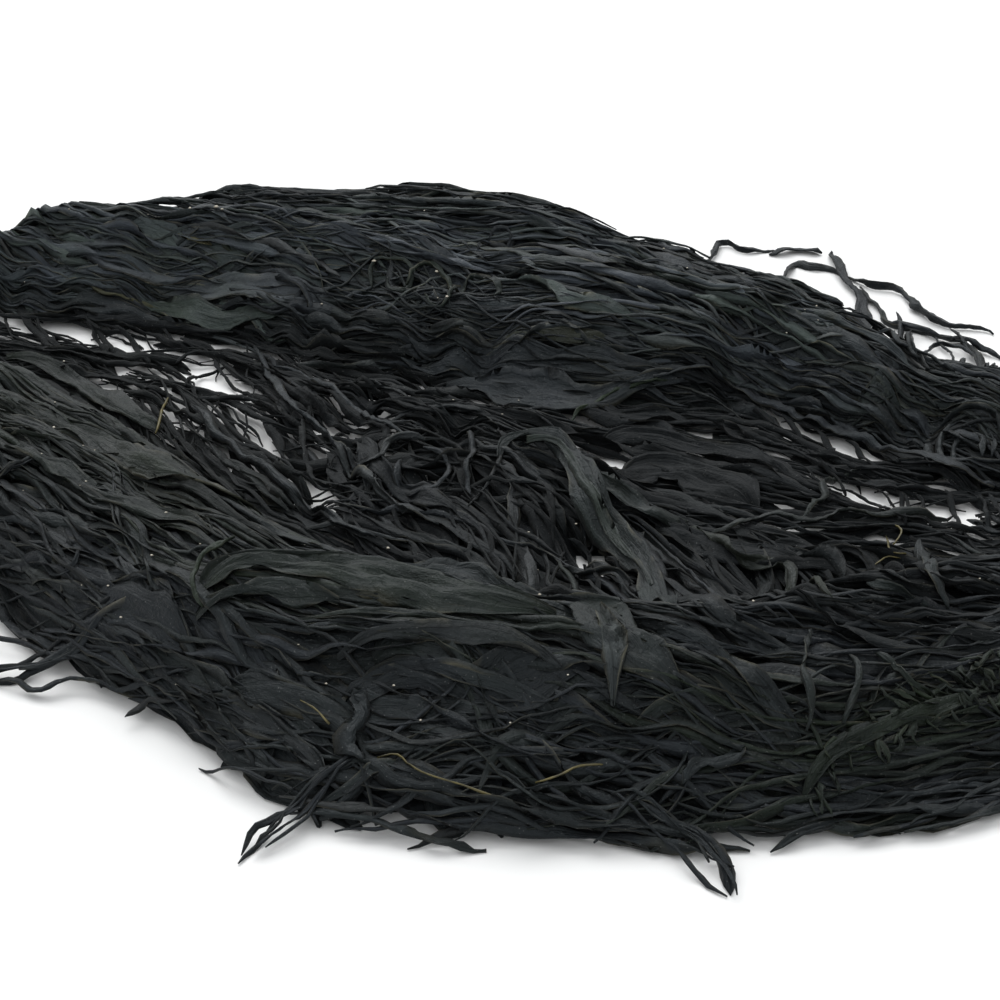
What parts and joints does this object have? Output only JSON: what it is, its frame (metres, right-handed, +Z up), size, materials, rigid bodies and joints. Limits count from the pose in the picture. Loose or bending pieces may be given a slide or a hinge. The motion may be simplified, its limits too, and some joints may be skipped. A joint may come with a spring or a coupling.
{
  "type": "dried wakame heap",
  "caption": "Loose heap of long, shrivelled dark strands and wide pleated blades of dried seaweed, lying in two streams with a thin saddle between them, flat underneath.",
  "frame": {"origin": "middle of the bounding box's base, on the surface the heap lies on", "axes": "+X along the two streams, to the right of the picture; +Y away from the viewer; +Z up"},
  "size_m": [0.638, 0.5426, 0.0604],
  "materials": {
    "seaweed": "matt, finely wrinkled lengthwise, near black with a grey-green cast"
  },
  "bodies": {
    "root": {"wakame_heap": "seaweed"}
  },
  "joints": []
}
